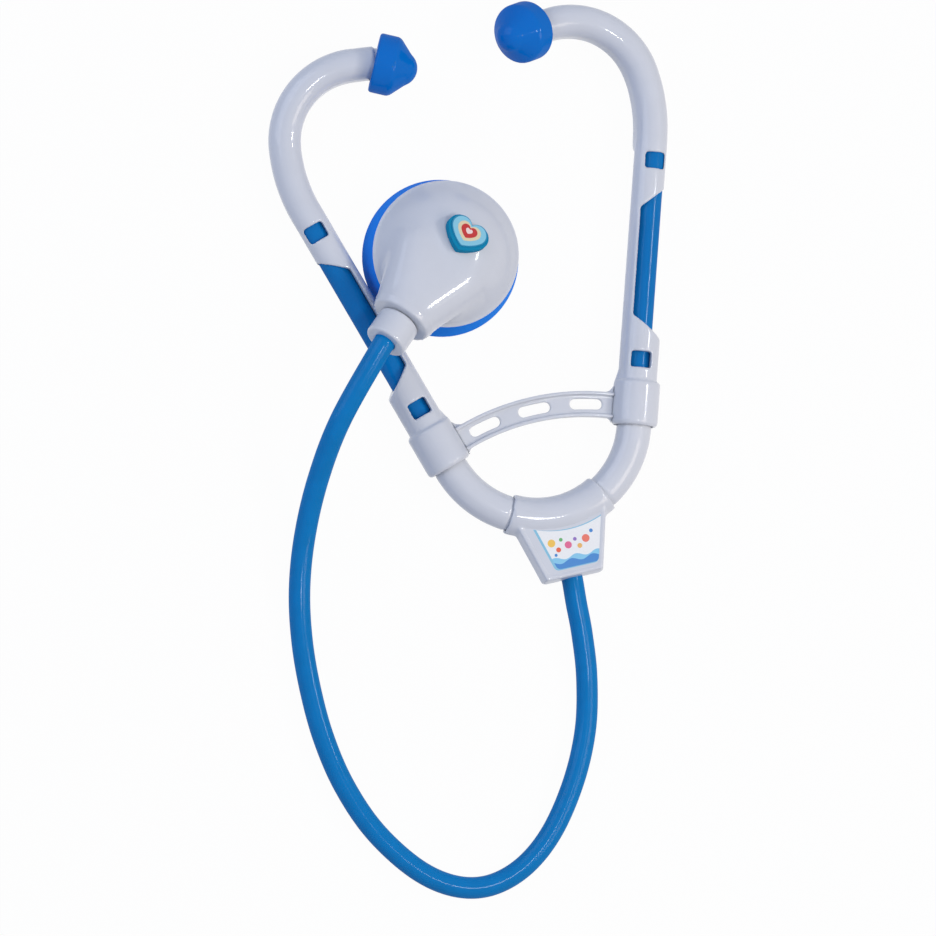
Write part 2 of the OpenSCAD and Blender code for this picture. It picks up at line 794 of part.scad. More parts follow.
module heart_sticker() {
    color("#c8202c") chest_frame() on_crown() translate([0, sticker_shift, badge_h])
        linear_extrude(sticker_t) heart_outline(badge_w - 2 * sticker_rim);
}

// Hose: a tube swept along a smooth curve through the route's points

function curve_at(p, i, t) =
    let (n = len(p),
         a = p[max(i - 1, 0)], b = p[i], c = p[min(i + 1, n - 1)], d = p[min(i + 2, n - 1)],
         m0 = (c - a) / 2, m1 = (d - b) / 2)
    (2 * t * t * t - 3 * t * t + 1) * b + (t * t * t - 2 * t * t + t) * m0
        + (3 * t * t - 2 * t * t * t) * c + (t * t * t - t * t) * m1;

function curve(p, steps) = concat(
    [for (i = [0 : len(p) - 2]) for (s = [0 : steps - 1]) curve_at(p, i, s / steps)],
    [p[len(p) - 1]]
);

function unit(v) = v / norm(v);

function heading(p, i) = unit(p[min(i + 1, len(p) - 1)] - p[max(i - 1, 0)]);

function ring(p, i, r, sides) =
    let (t = heading(p, i), u = unit(cross([0, 0, 1], t)), w = cross(t, u))
    [for (k = [0 : sides - 1]) p[i] + r * (cos(360 * k / sides) * u + sin(360 * k / sides) * w)];

module swept_tube(p, r, sides) {
    n = len(p);
    points = [for (i = [0 : n - 1]) each ring(p, i, r, sides)];
    walls = [for (i = [0 : n - 2]) for (k = [0 : sides - 1])
        let (a = i * sides + k, b = i * sides + (k + 1) % sides)
        each [[a, b + sides, b], [a, a + sides, b + sides]]];
    start = [for (k = [1 : sides - 2]) [0, k, k + 1]];
    last = (n - 1) * sides;
    finish = [for (k = [1 : sides - 2]) [last, last + k + 1, last + k]];
    polyhedron(points, concat(walls, start, finish));
}

module hose() {
    color(blue) swept_tube(curve(hose_points, hose_steps), hose_r, hose_sides);
}

yoke_front_shell();
yoke_back_shell();
shell_screws();
front_label();
yoke_tube("left");  // left_yoke_tube
yoke_tube("right");  // right_yoke_tube
hinge_pin("left");  // left_hinge_pin
hinge_pin("right");  // right_hinge_pin
leaf_spring();
arm("left");  // left_arm
arm("right");  // right_arm
arm_tube("left");  // left_arm_tube
arm_tube("right");  // right_arm_tube
ear_tip("left");  // left_ear_tip
ear_tip("right");  // right_ear_tip
hose();
chest_dome();
chest_ring();
diaphragm();
stem_ferrule();
heart_badge();
heart_sticker();
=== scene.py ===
"""Toy stethoscope: the finish of its mouldings, its hose and its printed stickers."""

import json
import math

import bmesh
import bpy
from mathutils import Matrix, Vector

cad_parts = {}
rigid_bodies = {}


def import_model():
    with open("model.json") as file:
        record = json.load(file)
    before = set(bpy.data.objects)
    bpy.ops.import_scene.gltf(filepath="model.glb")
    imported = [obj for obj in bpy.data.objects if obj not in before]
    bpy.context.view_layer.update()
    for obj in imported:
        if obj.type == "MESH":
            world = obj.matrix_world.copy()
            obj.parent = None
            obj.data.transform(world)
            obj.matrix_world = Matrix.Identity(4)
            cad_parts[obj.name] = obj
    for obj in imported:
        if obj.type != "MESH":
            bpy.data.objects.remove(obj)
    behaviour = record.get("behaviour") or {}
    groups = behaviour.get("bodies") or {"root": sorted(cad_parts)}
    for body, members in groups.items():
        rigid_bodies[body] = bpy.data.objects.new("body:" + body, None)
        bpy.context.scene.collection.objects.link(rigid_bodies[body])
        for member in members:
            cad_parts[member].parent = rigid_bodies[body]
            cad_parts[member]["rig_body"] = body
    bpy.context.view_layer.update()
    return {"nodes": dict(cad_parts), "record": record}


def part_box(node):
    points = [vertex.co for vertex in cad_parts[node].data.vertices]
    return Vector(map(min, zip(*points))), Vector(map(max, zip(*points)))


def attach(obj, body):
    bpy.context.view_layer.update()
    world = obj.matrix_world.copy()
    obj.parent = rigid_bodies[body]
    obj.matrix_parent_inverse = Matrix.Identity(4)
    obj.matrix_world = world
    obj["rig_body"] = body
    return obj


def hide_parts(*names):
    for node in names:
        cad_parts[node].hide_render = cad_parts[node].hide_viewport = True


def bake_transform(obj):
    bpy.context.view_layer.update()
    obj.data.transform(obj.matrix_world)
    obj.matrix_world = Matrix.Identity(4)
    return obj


bl_info = {
    "name": "Toy Stethoscope",
    "version": (1, 0, 0),
    "blender": (4, 5, 0),
    "location": "View3D > Sidebar > Stethoscope",
    "description": "Dresses a toy stethoscope in moulded plastic and vinyl",
    "category": "Object",
}

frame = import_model()

MM = 0.001
SIDES = ("left", "right")

# Angle past which an edge looks sharp, and angle under which two faces count as one flat face
SMOOTH_ANGLE = math.radians(40)
FLAT_ANGLE = math.radians(0.5)
# Distances within which loose corners are joined, slivers are dropped and a cut is taken as clean
WELD_MM = 0.002
SLIVER_MM = 0.01
CUT_MM = 0.001
# Share of the way that one round of softening draws a point to the middle of its neighbours
SOFTEN_SHARE = 0.5

# Skins of the mouldings: size of a face in mm, and the rounds that soften the edges
ARM_SKIN = (0.4, 3)
EAR_TIP_SKIN = (0.25, 12)
BOW_TUBE_SKIN = (0.4, 4)
BACK_SHELL_SKIN = (0.3, 6)
FRONT_SHELL_SKIN = (0.3, 14)
STRAP_SKIN = (0.25, 4)
RING_SKIN = (0.35, 4)
FERRULE_SKIN = (0.25, 5)
BADGE_SKIN = (0.15, 5)

# The hooks' backs: where they begin, how high they reach, and the rounds that soften them further
HOOK_FROM_MM = 112
HOOK_BACK_MM = 6
HOOK_ROUNDS = 80
# The T block's ends: how far out they begin, and the rounds that soften them further
BLOCK_END_MM = 14.5
BLOCK_END_ROUNDS = 45

# The dome: rounds that soften it above its crisp lip, and rounds that make it flow into the neck,
# all but the crisp end of the neck
DOME_ROUNDS = 4
FLOW_ROUNDS = 200
LIP_MM = 0.8
NECK_END_MM = 2.5
# The dome's foot: its points lie this near the ring's top in height and this near its rim across,
# and those closer together than the last length are joined
FOOT_MM = 0.5
EDGE_MM = 1.0
JOIN_MM = 0.3

# The hose's route, from inside the T block round the loop on the table
HOSE_ROUTE_MM = [
    (0, -1.75, 6), (0, -8.2, 6), (-0.4, -16, 5.6), (-0.7, -26, 4.8), (-2.2, -40, 3.7), (-6.4, -56, 3.5),
    (-14, -71.4, 3.5), (-24.6, -85.4, 3.5), (-36, -94, 3.5), (-48, -97.2, 3.5), (-59.2, -94.6, 3.5),
    (-69.8, -86.4, 3.5), (-79.8, -72, 3.5), (-86, -56, 3.5), (-89, -40, 3.5), (-89.7, -24, 3.5),
    (-88.8, -8, 3.6), (-86, 8, 4.4), (-80.8, 24.2, 7), (-73.4, 40.6, 13.4), (-63.6, 56.6, 22.4),
]
# Where the hose nears, meets and ends inside the ferrule, measured out from the neck along the stem
HOSE_END_MM = (12.3, 9.3, 3.35)
# Fineness of the hose round its girth, and its steps between two points of the route
HOSE_GIRTH_FINENESS = 8
HOSE_SPAN_STEPS = 12
# A handle of the curve is the way between a point's neighbours, divided by this
HOSE_EASE = 6

# Step from one layer of ink to the next
INK_MM = 0.03
# The label's border and print as shares of the sticker, drawn in towards a place off its middle
LABEL_SHARES = (0.87, 0.83)
LABEL_AIM_MM = (10, -1, 0)
# Waves of the label: height above its foot in mm, start in radians, colour
WAVES = [(4.6, 0.0, "#7FC4E2"), (3.4, 1.6, "#2C80C6")]
WAVE_LENGTH_MM = 7
WAVE_HEIGHT_MM = 0.55
# Dots of the label: place and radius in mm from the middle of its foot, colour
DOTS = [
    (-5.2, 9.9, 1.25, "#EFC04A"), (-3.4, 7.4, 0.8, "#E4572E"), (-2.0, 10.4, 0.6, "#57AE62"),
    (0.0, 8.3, 1.15, "#DE5E8C"), (2.5, 9.7, 0.6, "#8C6BB8"), (3.6, 7.3, 0.8, "#E9B25C"),
    (6.0, 9.2, 1.25, "#E8705C"), (8.2, 11.2, 0.6, "#2C80C6"), (-4.6, 5.9, 0.5, "#2C80C6"),
]
# Inks of the nested hearts from the outside in, and the inner ones' sizes as shares of the outer one
HEART_INKS = ("rim_ink", "sky_ink", "cream_ink", "red_ink", "blush_ink")
HEART_SHARES = (0.93, 0.64, 0.45, 0.19)

# Patterns of the materials: their sizes and depths in mm, and the shades and the roughness that they go
# between. The finest grains are drawn coarser than the real ones, or they would not show
ABS_CLOUD_MM = 9
ABS_PEEL_MM = 0.7
ABS_PEEL_DEPTH_MM = 0.05
ABS_SHADES = (0.95, 1.03)
ABS_ROUGHNESS_SHARES = (0.85, 1.2)
VINYL_MOTTLE_MM = 4
VINYL_GRAIN_MM = 0.6
VINYL_GRAIN_DEPTH_MM = 0.05
VINYL_SHADES = (0.88, 1.1)
VINYL_ROUGHNESS = (0.34, 0.5)
INK_GRAIN_MM = 0.5
INK_SHADES = (0.93, 1.05)
PAPER_GRAIN_MM = 0.6
PAPER_SHADES = (0.95, 1.03)
ZINC_SCUFF_MM = 0.4
ZINC_SHADES = (0.8, 1.0)
ZINC_ROUGHNESS = (0.25, 0.45)
FILM_FROST_MM = 0.35
FILM_FROST_DEPTH_MM = 0.03
FILM_SHADES = (0.94, 1.0)

# The camera: its lean from straight above to the left and to the ears, its roll, its distance and the place
# that it looks at in m, its lens, and the near and far end of what it sees in m
VIEW_FROM_LEFT = math.radians(9.54)
VIEW_FROM_EARS = math.radians(-2.25)
VIEW_ROLL = math.radians(-13)
VIEW_DISTANCE = 1.4424
LOOKED_AT = Vector((-0.0238, 0.0339, 0))
LENS_MM = 173.2
SENSOR_MM = 36
CLIP = (0.05, 20)
# Lamps: place to the right, up and out of the picture and size, all in m, then watts and colour
LAMPS = {
    "key": (0.85, -0.2, 0.75, 0.5, 4.0, "#FFF1DF"),
    "glint": (0.87, 0.18, 0.62, 0.12, 1.8, "#FFFFFF"),
    "front": (0.4, -0.1, 1.2, 0.14, 2.4, "#FFFFFF"),
    "fill": (-0.75, 0.55, 0.7, 0.9, 4.6, "#E4ECFF"),
}
# Light from all round: its colour and its level
WORLD_TINT = "#D3DFFF"
WORLD_LEVEL = 0.42
# The floor: share of plain white where it is seen directly, half its width in m, and how far it lies
# under the toy
FLOOR_GLOW = 0.97
FLOOR_REACH = 3
FLOOR_DROP_MM = 0.05

WHITE = (1, 1, 1, 1)


def linear(code):
    """A linear colour from an sRGB hex value."""
    parts = [int(code[i:i + 2], 16) / 255 for i in (1, 3, 5)]
    return tuple(c / 12.92 if c <= 0.04045 else ((c + 0.055) / 1.055) ** 2.4 for c in parts)


def colour(label, words, code):
    """A colour that a user can change, given as an sRGB hex value."""
    return bpy.props.FloatVectorProperty(
        name=label, description=words, subtype="COLOR", size=3, min=0, max=1, default=linear(code))


def length(label, words, metres):
    """A length that a user can change."""
    return bpy.props.FloatProperty(
        name=label, description=words, subtype="DISTANCE", unit="LENGTH", min=0, default=metres)


class StethoscopeColours(bpy.types.PropertyGroup):
    """Colours of the plastics and the printed stickers"""

    white: colour("White plastic", "Cool white of the arms, the T block and the dome", "#D3D6DB")
    blue: colour("Ear tips", "Blue of the ear tips", "#0670C8")
    ring: colour("Ring", "Brighter blue of the chest piece's ring", "#0F8AF6")
    tube: colour("Inner tubes", "Blue of the tubes inside the arms", "#0A74B8")
    hose: colour("Hose", "Blue of the vinyl hose", "#067ABC")
    teal: colour("Badge", "Teal of the heart badge's body", "#1287AE")
    sky: colour("Light blue ink", "Outer band of the printed heart", "#86C8DC")
    cream: colour("Cream ink", "Middle band of the printed heart", "#E4D3AC")
    red: colour("Red ink", "The printed heart itself", "#C42B2C")
    blush: colour("Blush ink", "The small heart in the middle", "#F3D9D2")
    paper: colour("Label paper", "Pale ground of the label", "#ECEDEB")
    border: colour("Label border", "Edge of the label", "#7DBDD6")
    steel: colour("Screws", "Zinc plating of the screws", "#B9BDC4")
    film: colour("Film", "Frosted film of the chest piece", "#E6E7EE")
    floor: colour("Floor", "Pale table under the toy", "#D2D2D6")


class StethoscopeSizes(bpy.types.PropertyGroup):
    """Sizes of the finish"""

    hose_diameter: length("Hose diameter", "Outer diameter of the hose", 6.9 * MM)
    skin: length("Dome grain", "Size of the faces of the rebuilt dome", 0.45 * MM)


# What the frame says


def body_of(name):
    """The body that carries a node."""
    return frame["nodes"][name]["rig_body"]


def neck_and_stem():
    """Where the chest piece's neck ends, and which way the stem leaves it."""
    joint = next(j for j in frame["record"]["behaviour"]["joints"] if j["name"] == "chest_swivel")
    return Vector(joint["pos_m"]), Vector(joint["axis"])


# Materials


def node(tree, kind, inputs=None, **settings):
    """Adds a node, sets its options, and sets or links its sockets."""
    made = tree.nodes.new(kind)
    for key, value in settings.items():
        setattr(made, key, value)
    for key, value in (inputs or {}).items():
        if isinstance(value, bpy.types.NodeSocket):
            tree.links.new(value, made.inputs[key])
        else:
            made.inputs[key].default_value = value
    return made


def new_material(name):
    """A node material and its empty tree."""
    material = bpy.data.materials.new(name)
    material.use_nodes = True
    material.node_tree.nodes.clear()
    return material, material.node_tree


def shade(rgb, share):
    """An opaque colour, made darker or lighter by a share."""
    return (*(min(1.0, c * share) for c in rgb), 1.0)


def moulded_abs(name, rgb, rough, specular, coat):
    """Injection-moulded ABS: deep colour under a thin gloss, faintly clouded, with fine orange peel."""
    material, tree = new_material(name)
    place = node(tree, "ShaderNodeTexCoord").outputs["Object"]
    cloud = node(tree, "ShaderNodeTexNoise", {
        "Vector": place, "Scale": 1 / (ABS_CLOUD_MM * MM), "Detail": 3.0}).outputs[0]
    peel = node(tree, "ShaderNodeTexNoise", {
        "Vector": place, "Scale": 1 / (ABS_PEEL_MM * MM), "Detail": 2.0}).outputs[0]
    dark, light = ABS_SHADES
    base = node(tree, "ShaderNodeMix", {
        "Factor": cloud, "A": shade(rgb, dark), "B": shade(rgb, light)}, data_type="RGBA")
    glossy, dull = ABS_ROUGHNESS_SHARES
    gloss = node(tree, "ShaderNodeMapRange", {
        "Value": cloud, "To Min": rough * glossy, "To Max": rough * dull})
    bump = node(tree, "ShaderNodeBump", {
        "Height": peel, "Strength": 0.03, "Distance": ABS_PEEL_DEPTH_MM * MM}).outputs[0]
    shader = node(tree, "ShaderNodeBsdfPrincipled", {
        "Base Color": base.outputs["Result"], "Roughness": gloss.outputs[0], "IOR": 1.53,
        "Specular IOR Level": specular, "Normal": bump, "Coat Weight": coat, "Coat Roughness": 0.07,
        "Coat IOR": 1.53, "Coat Normal": bump})
    node(tree, "ShaderNodeOutputMaterial", {"Surface": shader.outputs[0]})
    return material


def soft_vinyl(name, rgb):
    """Extruded PVC hose: satin under a thin gloss, with a faint mottle and fine grain."""
    material, tree = new_material(name)
    place = node(tree, "ShaderNodeTexCoord").outputs["Object"]
    mottle = node(tree, "ShaderNodeTexNoise", {
        "Vector": place, "Scale": 1 / (VINYL_MOTTLE_MM * MM), "Detail": 4.0}).outputs[0]
    grain = node(tree, "ShaderNodeTexNoise", {
        "Vector": place, "Scale": 1 / (VINYL_GRAIN_MM * MM), "Detail": 2.0}).outputs[0]
    dark, light = VINYL_SHADES
    base = node(tree, "ShaderNodeMix", {
        "Factor": mottle, "A": shade(rgb, dark), "B": shade(rgb, light)}, data_type="RGBA")
    glossy, dull = VINYL_ROUGHNESS
    gloss = node(tree, "ShaderNodeMapRange", {"Value": grain, "To Min": glossy, "To Max": dull})
    bump = node(tree, "ShaderNodeBump", {
        "Height": grain, "Strength": 0.04, "Distance": VINYL_GRAIN_DEPTH_MM * MM}).outputs[0]
    shader = node(tree, "ShaderNodeBsdfPrincipled", {
        "Base Color": base.outputs["Result"], "Roughness": gloss.outputs[0], "IOR": 1.53,
        "Specular IOR Level": 0.0, "Normal": bump, "Coat Weight": 0.18, "Coat Roughness": 0.13,
        "Coat IOR": 1.53, "Coat Normal": bump})
    node(tree, "ShaderNodeOutputMaterial", {"Surface": shader.outputs[0]})
    return material


def printed_ink(name, rgb):
    """Ink on a glossy paper sticker: even colour with a faint grain."""
    material, tree = new_material(name)
    place = node(tree, "ShaderNodeTexCoord").outputs["Object"]
    grain = node(tree, "ShaderNodeTexNoise", {
        "Vector": place, "Scale": 1 / (INK_GRAIN_MM * MM), "Detail": 1.0}).outputs[0]
    dark, light = INK_SHADES
    base = node(tree, "ShaderNodeMix", {
        "Factor": grain, "A": shade(rgb, dark), "B": shade(rgb, light)}, data_type="RGBA")
    shader = node(tree, "ShaderNodeBsdfPrincipled", {
        "Base Color": base.outputs["Result"], "Roughness": 0.3, "IOR": 1.5})
    node(tree, "ShaderNodeOutputMaterial", {"Surface": shader.outputs[0]})
    return material


def zinc_plate(name, rgb):
    """Bright zinc plate on a small screw: metallic, softly scuffed."""
    material, tree = new_material(name)
    place = node(tree, "ShaderNodeTexCoord").outputs["Object"]
    scuff = node(tree, "ShaderNodeTexNoise", {
        "Vector": place, "Scale": 1 / (ZINC_SCUFF_MM * MM), "Detail": 4.0}).outputs[0]
    dark, light = ZINC_SHADES
    base = node(tree, "ShaderNodeMix", {
        "Factor": scuff, "A": shade(rgb, dark), "B": shade(rgb, light)}, data_type="RGBA")
    glossy, dull = ZINC_ROUGHNESS
    gloss = node(tree, "ShaderNodeMapRange", {"Value": scuff, "To Min": glossy, "To Max": dull})
    shader = node(tree, "ShaderNodeBsdfPrincipled", {
        "Base Color": base.outputs["Result"], "Metallic": 1.0, "Roughness": gloss.outputs[0]})
    node(tree, "ShaderNodeOutputMaterial", {"Surface": shader.outputs[0]})
    return material


def frosted_film(name, rgb):
    """Frosted polyester film: matte, with a fine etched grain."""
    material, tree = new_material(name)
    place = node(tree, "ShaderNodeTexCoord").outputs["Object"]
    frost = node(tree, "ShaderNodeTexNoise", {
        "Vector": place, "Scale": 1 / (FILM_FROST_MM * MM), "Detail": 3.0}).outputs[0]
    dark, light = FILM_SHADES
    base = node(tree, "ShaderNodeMix", {
        "Factor": frost, "A": shade(rgb, dark), "B": shade(rgb, light)}, data_type="RGBA")
    bump = node(tree, "ShaderNodeBump", {
        "Height": frost, "Strength": 0.2, "Distance": FILM_FROST_DEPTH_MM * MM})
    shader = node(tree, "ShaderNodeBsdfPrincipled", {
        "Base Color": base.outputs["Result"], "Roughness": 0.6, "IOR": 1.6, "Normal": bump.outputs[0]})
    node(tree, "ShaderNodeOutputMaterial", {"Surface": shader.outputs[0]})
    return material


def printed_label(name, paper):
    """Glossy paper label, printed with plain dots above waves."""
    material, tree = new_material(name)
    place = node(tree, "ShaderNodeTexCoord").outputs["Object"]
    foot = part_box("front_label")[0].y
    flat = node(tree, "ShaderNodeVectorMath", {0: place, 1: (1, 1, 0)}, operation="MULTIPLY").outputs[0]
    axes = node(tree, "ShaderNodeSeparateXYZ", {0: flat}).outputs
    grain = node(tree, "ShaderNodeTexNoise", {
        "Vector": place, "Scale": 1 / (PAPER_GRAIN_MM * MM), "Detail": 1.0}).outputs[0]
    dark, light = PAPER_SHADES
    base = node(tree, "ShaderNodeMix", {
        "Factor": grain, "A": shade(paper, dark), "B": shade(paper, light)}, data_type="RGBA")
    prints = []
    for crest_mm, start, code in WAVES:
        swing = node(tree, "ShaderNodeMath", {
            0: axes["X"], 1: math.tau / (WAVE_LENGTH_MM * MM)}, operation="MULTIPLY")
        angle = node(tree, "ShaderNodeMath", {0: swing.outputs[0], 1: start}, operation="ADD")
        sine = node(tree, "ShaderNodeMath", {0: angle.outputs[0]}, operation="SINE")
        crest = node(tree, "ShaderNodeMath", {
            0: sine.outputs[0], 1: WAVE_HEIGHT_MM * MM, 2: foot + crest_mm * MM}, operation="MULTIPLY_ADD")
        under = node(tree, "ShaderNodeMath", {0: axes["Y"], 1: crest.outputs[0]}, operation="LESS_THAN")
        prints.append((under, code))
    for x, y, radius, code in DOTS:
        away = node(tree, "ShaderNodeVectorMath", {
            0: flat, 1: (x * MM, foot + y * MM, 0)}, operation="DISTANCE")
        inside = node(tree, "ShaderNodeMath", {
            0: away.outputs["Value"], 1: radius * MM}, operation="LESS_THAN")
        prints.append((inside, code))
    for mask, code in prints:
        base = node(tree, "ShaderNodeMix", {
            "Factor": mask.outputs[0], "A": base.outputs["Result"],
            "B": (*linear(code), 1)}, data_type="RGBA")
    shader = node(tree, "ShaderNodeBsdfPrincipled", {
        "Base Color": base.outputs["Result"], "Roughness": 0.28, "IOR": 1.5})
    node(tree, "ShaderNodeOutputMaterial", {"Surface": shader.outputs[0]})
    return material


# How each kind of surface is made: its maker and its colour, and for ABS its roughness, specular level
# and weight of gloss coat
FINISHES = {
    "white_abs": (moulded_abs, "white", 0.3, 0.1, 0.5),
    "blue_abs": (moulded_abs, "blue", 0.3, 0.0, 0.18),
    "ring_abs": (moulded_abs, "ring", 0.3, 0.0, 0.05),
    "tube_abs": (moulded_abs, "tube", 0.3, 0.0, 0.16),
    "teal_abs": (moulded_abs, "teal", 0.3, 0.0, 0.1),
    "vinyl_hose": (soft_vinyl, "hose"),
    "zinc_plate": (zinc_plate, "steel"),
    "frosted_film": (frosted_film, "film"),
    "label_print": (printed_label, "paper"),
    "border_ink": (printed_ink, "border"),
    "rim_ink": (printed_ink, "teal"),
    "sky_ink": (printed_ink, "sky"),
    "cream_ink": (printed_ink, "cream"),
    "red_ink": (printed_ink, "red"),
    "blush_ink": (printed_ink, "blush"),
}


def finish(name):
    """The material of a kind of surface, made at its first use."""
    if name not in bpy.data.materials:
        maker, hue, *more = FINISHES[name]
        maker(name, getattr(bpy.context.scene.stethoscope_colours, hue), *more)
    return bpy.data.materials[name]


# Meshes


def node_mesh(name):
    """A bmesh copy of a CAD node with its loose triangles joined."""
    bm = bmesh.new()
    bm.from_mesh(frame["nodes"][name].data)
    bmesh.ops.remove_doubles(bm, verts=bm.verts, dist=WELD_MM * MM)
    return bm


def sticker_mesh(name):
    """A bmesh copy of a flat CAD node, each of its flat sides one face."""
    bm = node_mesh(name)
    bmesh.ops.dissolve_limit(bm, angle_limit=FLAT_ANGLE, verts=bm.verts, edges=bm.edges)
    return bm


def make_object(name, bm, *materials):
    """An object at the origin from a bmesh, smooth but for its sharp edges."""
    mesh = bpy.data.meshes.new(name)
    bm.to_mesh(mesh)
    bm.free()
    for material in materials:
        mesh.materials.append(material)
    mesh.shade_smooth()
    mesh.set_sharp_from_angle(angle=SMOOTH_ANGLE)
    obj = bpy.data.objects.new(name, mesh)
    bpy.context.scene.collection.objects.link(obj)
    return obj


def stand_for(obj, node_name):
    """Puts a new piece in the place of a CAD node, on the node's body."""
    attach(obj, body_of(node_name))
    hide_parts(node_name)


def paint(node_name, material):
    """Gives a CAD node its finished material."""
    slots = frame["nodes"][node_name].data.materials
    slots.clear()
    slots.append(material)


def even_skin(bm, grain):
    """The same solid, rebuilt as one skin of even small faces."""
    mesh = bpy.data.meshes.new("skin")
    bm.to_mesh(mesh)
    bm.free()
    holder = bpy.data.objects.new("skin", mesh)
    bpy.context.scene.collection.objects.link(holder)
    rebuild = holder.modifiers.new("rebuild", "REMESH")
    rebuild.mode = "VOXEL"
    rebuild.voxel_size = grain
    skin = bmesh.new()
    skin.from_object(holder, bpy.context.evaluated_depsgraph_get())
    bpy.data.objects.remove(holder)
    bpy.data.meshes.remove(mesh)
    return skin


def soften(bm, verts, rounds):
    """Softens a patch of an even skin."""
    for _ in range(rounds):
        bmesh.ops.smooth_vert(
            bm, verts=verts, factor=SOFTEN_SHARE, use_axis_x=True, use_axis_y=True, use_axis_z=True)


def soft_skin(node_name, skin):
    """A CAD node's shape as one skin of even faces, its edges softened."""
    grain_mm, rounds = skin
    bm = even_skin(node_mesh(node_name), grain_mm * MM)
    soften(bm, bm.verts, rounds)
    return bm


def soft_moulding(node_name, material, skin, patch=None, patch_rounds=0):
    """A moulding in the place of a CAD node, softened all over and further in a patch."""
    bm = soft_skin(node_name, skin)
    if patch:
        soften(bm, [v for v in bm.verts if patch(v.co)], patch_rounds)
    stand_for(make_object(node_name + "_moulding", bm, material), node_name)


def on_hook_back(place):
    """Whether a place of an arm is on the back of its hook."""
    return place.y > HOOK_FROM_MM * MM and place.z < HOOK_BACK_MM * MM


def at_block_end(place):
    """Whether a place of the T block is at one of its ends."""
    return abs(place.x) > BLOCK_END_MM * MM


def true_foot(bm, foot):
    """Draws the dome's foot out to a true circle, flush with the top of the ring."""
    low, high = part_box("chest_ring")
    middle = (low + high) / 2
    rim = max((v.co - middle).xy.length for v in frame["nodes"]["chest_ring"].data.vertices
              if v.co.z > foot - FOOT_MM * MM)
    edge = [v for v in bm.verts if abs(v.co.z - foot) < FOOT_MM * MM
            and (v.co - middle).xy.length > rim - EDGE_MM * MM]
    for v in edge:
        v.co.xy = middle.xy + rim * (v.co - middle).xy.normalized()
        v.co.z = foot
    bmesh.ops.remove_doubles(bm, verts=edge, dist=JOIN_MM * MM)
    bmesh.ops.dissolve_degenerate(bm, dist=SLIVER_MM * MM, edges=bm.edges)


def stack(bm, middle, normal, shares):
    """Lays smaller copies of a flat sticker on it, each a layer of ink with the next material."""
    base = bm.faces[:]
    for layer, share in enumerate(shares, start=1):
        copies = bmesh.ops.duplicate(bm, geom=base)["geom"]
        verts = [g for g in copies if isinstance(g, bmesh.types.BMVert)]
        bmesh.ops.scale(bm, verts=verts, vec=(share, share, share), space=Matrix.Translation(-middle))
        bmesh.ops.translate(bm, verts=verts, vec=layer * INK_MM * MM * normal)
        for g in copies:
            if isinstance(g, bmesh.types.BMFace):
                g.material_index = layer


# Stage


def view_axes():
    """Right, up and back of the camera."""
    back = Vector((-math.sin(VIEW_FROM_LEFT) * math.cos(VIEW_FROM_EARS), math.sin(VIEW_FROM_EARS),
                   math.cos(VIEW_FROM_LEFT) * math.cos(VIEW_FROM_EARS)))
    right = Vector((0, 1, 0)).cross(back).normalized()
    up = back.cross(right)
    turned = math.cos(VIEW_ROLL) * right + math.sin(VIEW_ROLL) * up
    return turned, back.cross(turned), back


def add_camera():
    """The scene's camera, nearly straight above the toy."""
    data = bpy.data.cameras.new("camera")
    data.sensor_width = SENSOR_MM
    data.lens = LENS_MM
    data.clip_start, data.clip_end = CLIP
    camera = bpy.data.objects.new("camera", data)
    right, up, back = view_axes()
    camera.matrix_world = Matrix.Translation(LOOKED_AT + VIEW_DISTANCE * back) @ Matrix(
        (right, up, back)).transposed().to_4x4()
    bpy.context.scene.collection.objects.link(camera)
    bpy.context.scene.camera = camera


def add_lamp(name, across, along, height, size, watts, tint):
    """A square soft box, placed in the picture's own directions and aimed at the toy."""
    data = bpy.data.lights.new(name, "AREA")
    data.size = size
    data.energy = watts
    data.color = linear(tint)
    right, up, back = view_axes()
    lamp = bpy.data.objects.new(name, data)
    lamp.location = LOOKED_AT + across * right + along * up + height * back
    lamp.rotation_euler = (lamp.location - LOOKED_AT).to_track_quat("Z", "Y").to_euler()
    bpy.context.scene.collection.objects.link(lamp)


def seen_directly(tree):
    """1 for rays that show the background itself: from the camera, or by way of gloss or glass."""
    path = node(tree, "ShaderNodeLightPath").outputs
    either = node(tree, "ShaderNodeMath", {
        0: path["Is Camera Ray"], 1: path["Is Glossy Ray"]}, operation="MAXIMUM")
    return node(tree, "ShaderNodeMath", {
        0: either.outputs[0], 1: path["Is Transmission Ray"]}, operation="MAXIMUM").outputs[0]


def add_world():
    """Soft light from all round, and a white background where it is seen directly."""
    world = bpy.data.worlds.new("studio")
    world.use_nodes = True
    tree = world.node_tree
    tree.nodes.clear()
    level = node(tree, "ShaderNodeMix", {
        "Factor": seen_directly(tree), "A": shade(linear(WORLD_TINT), WORLD_LEVEL),
        "B": WHITE}, data_type="RGBA")
    light = node(tree, "ShaderNodeBackground", {"Color": level.outputs["Result"]})
    node(tree, "ShaderNodeOutputWorld", {"Surface": light.outputs[0]})
    bpy.context.scene.world = world


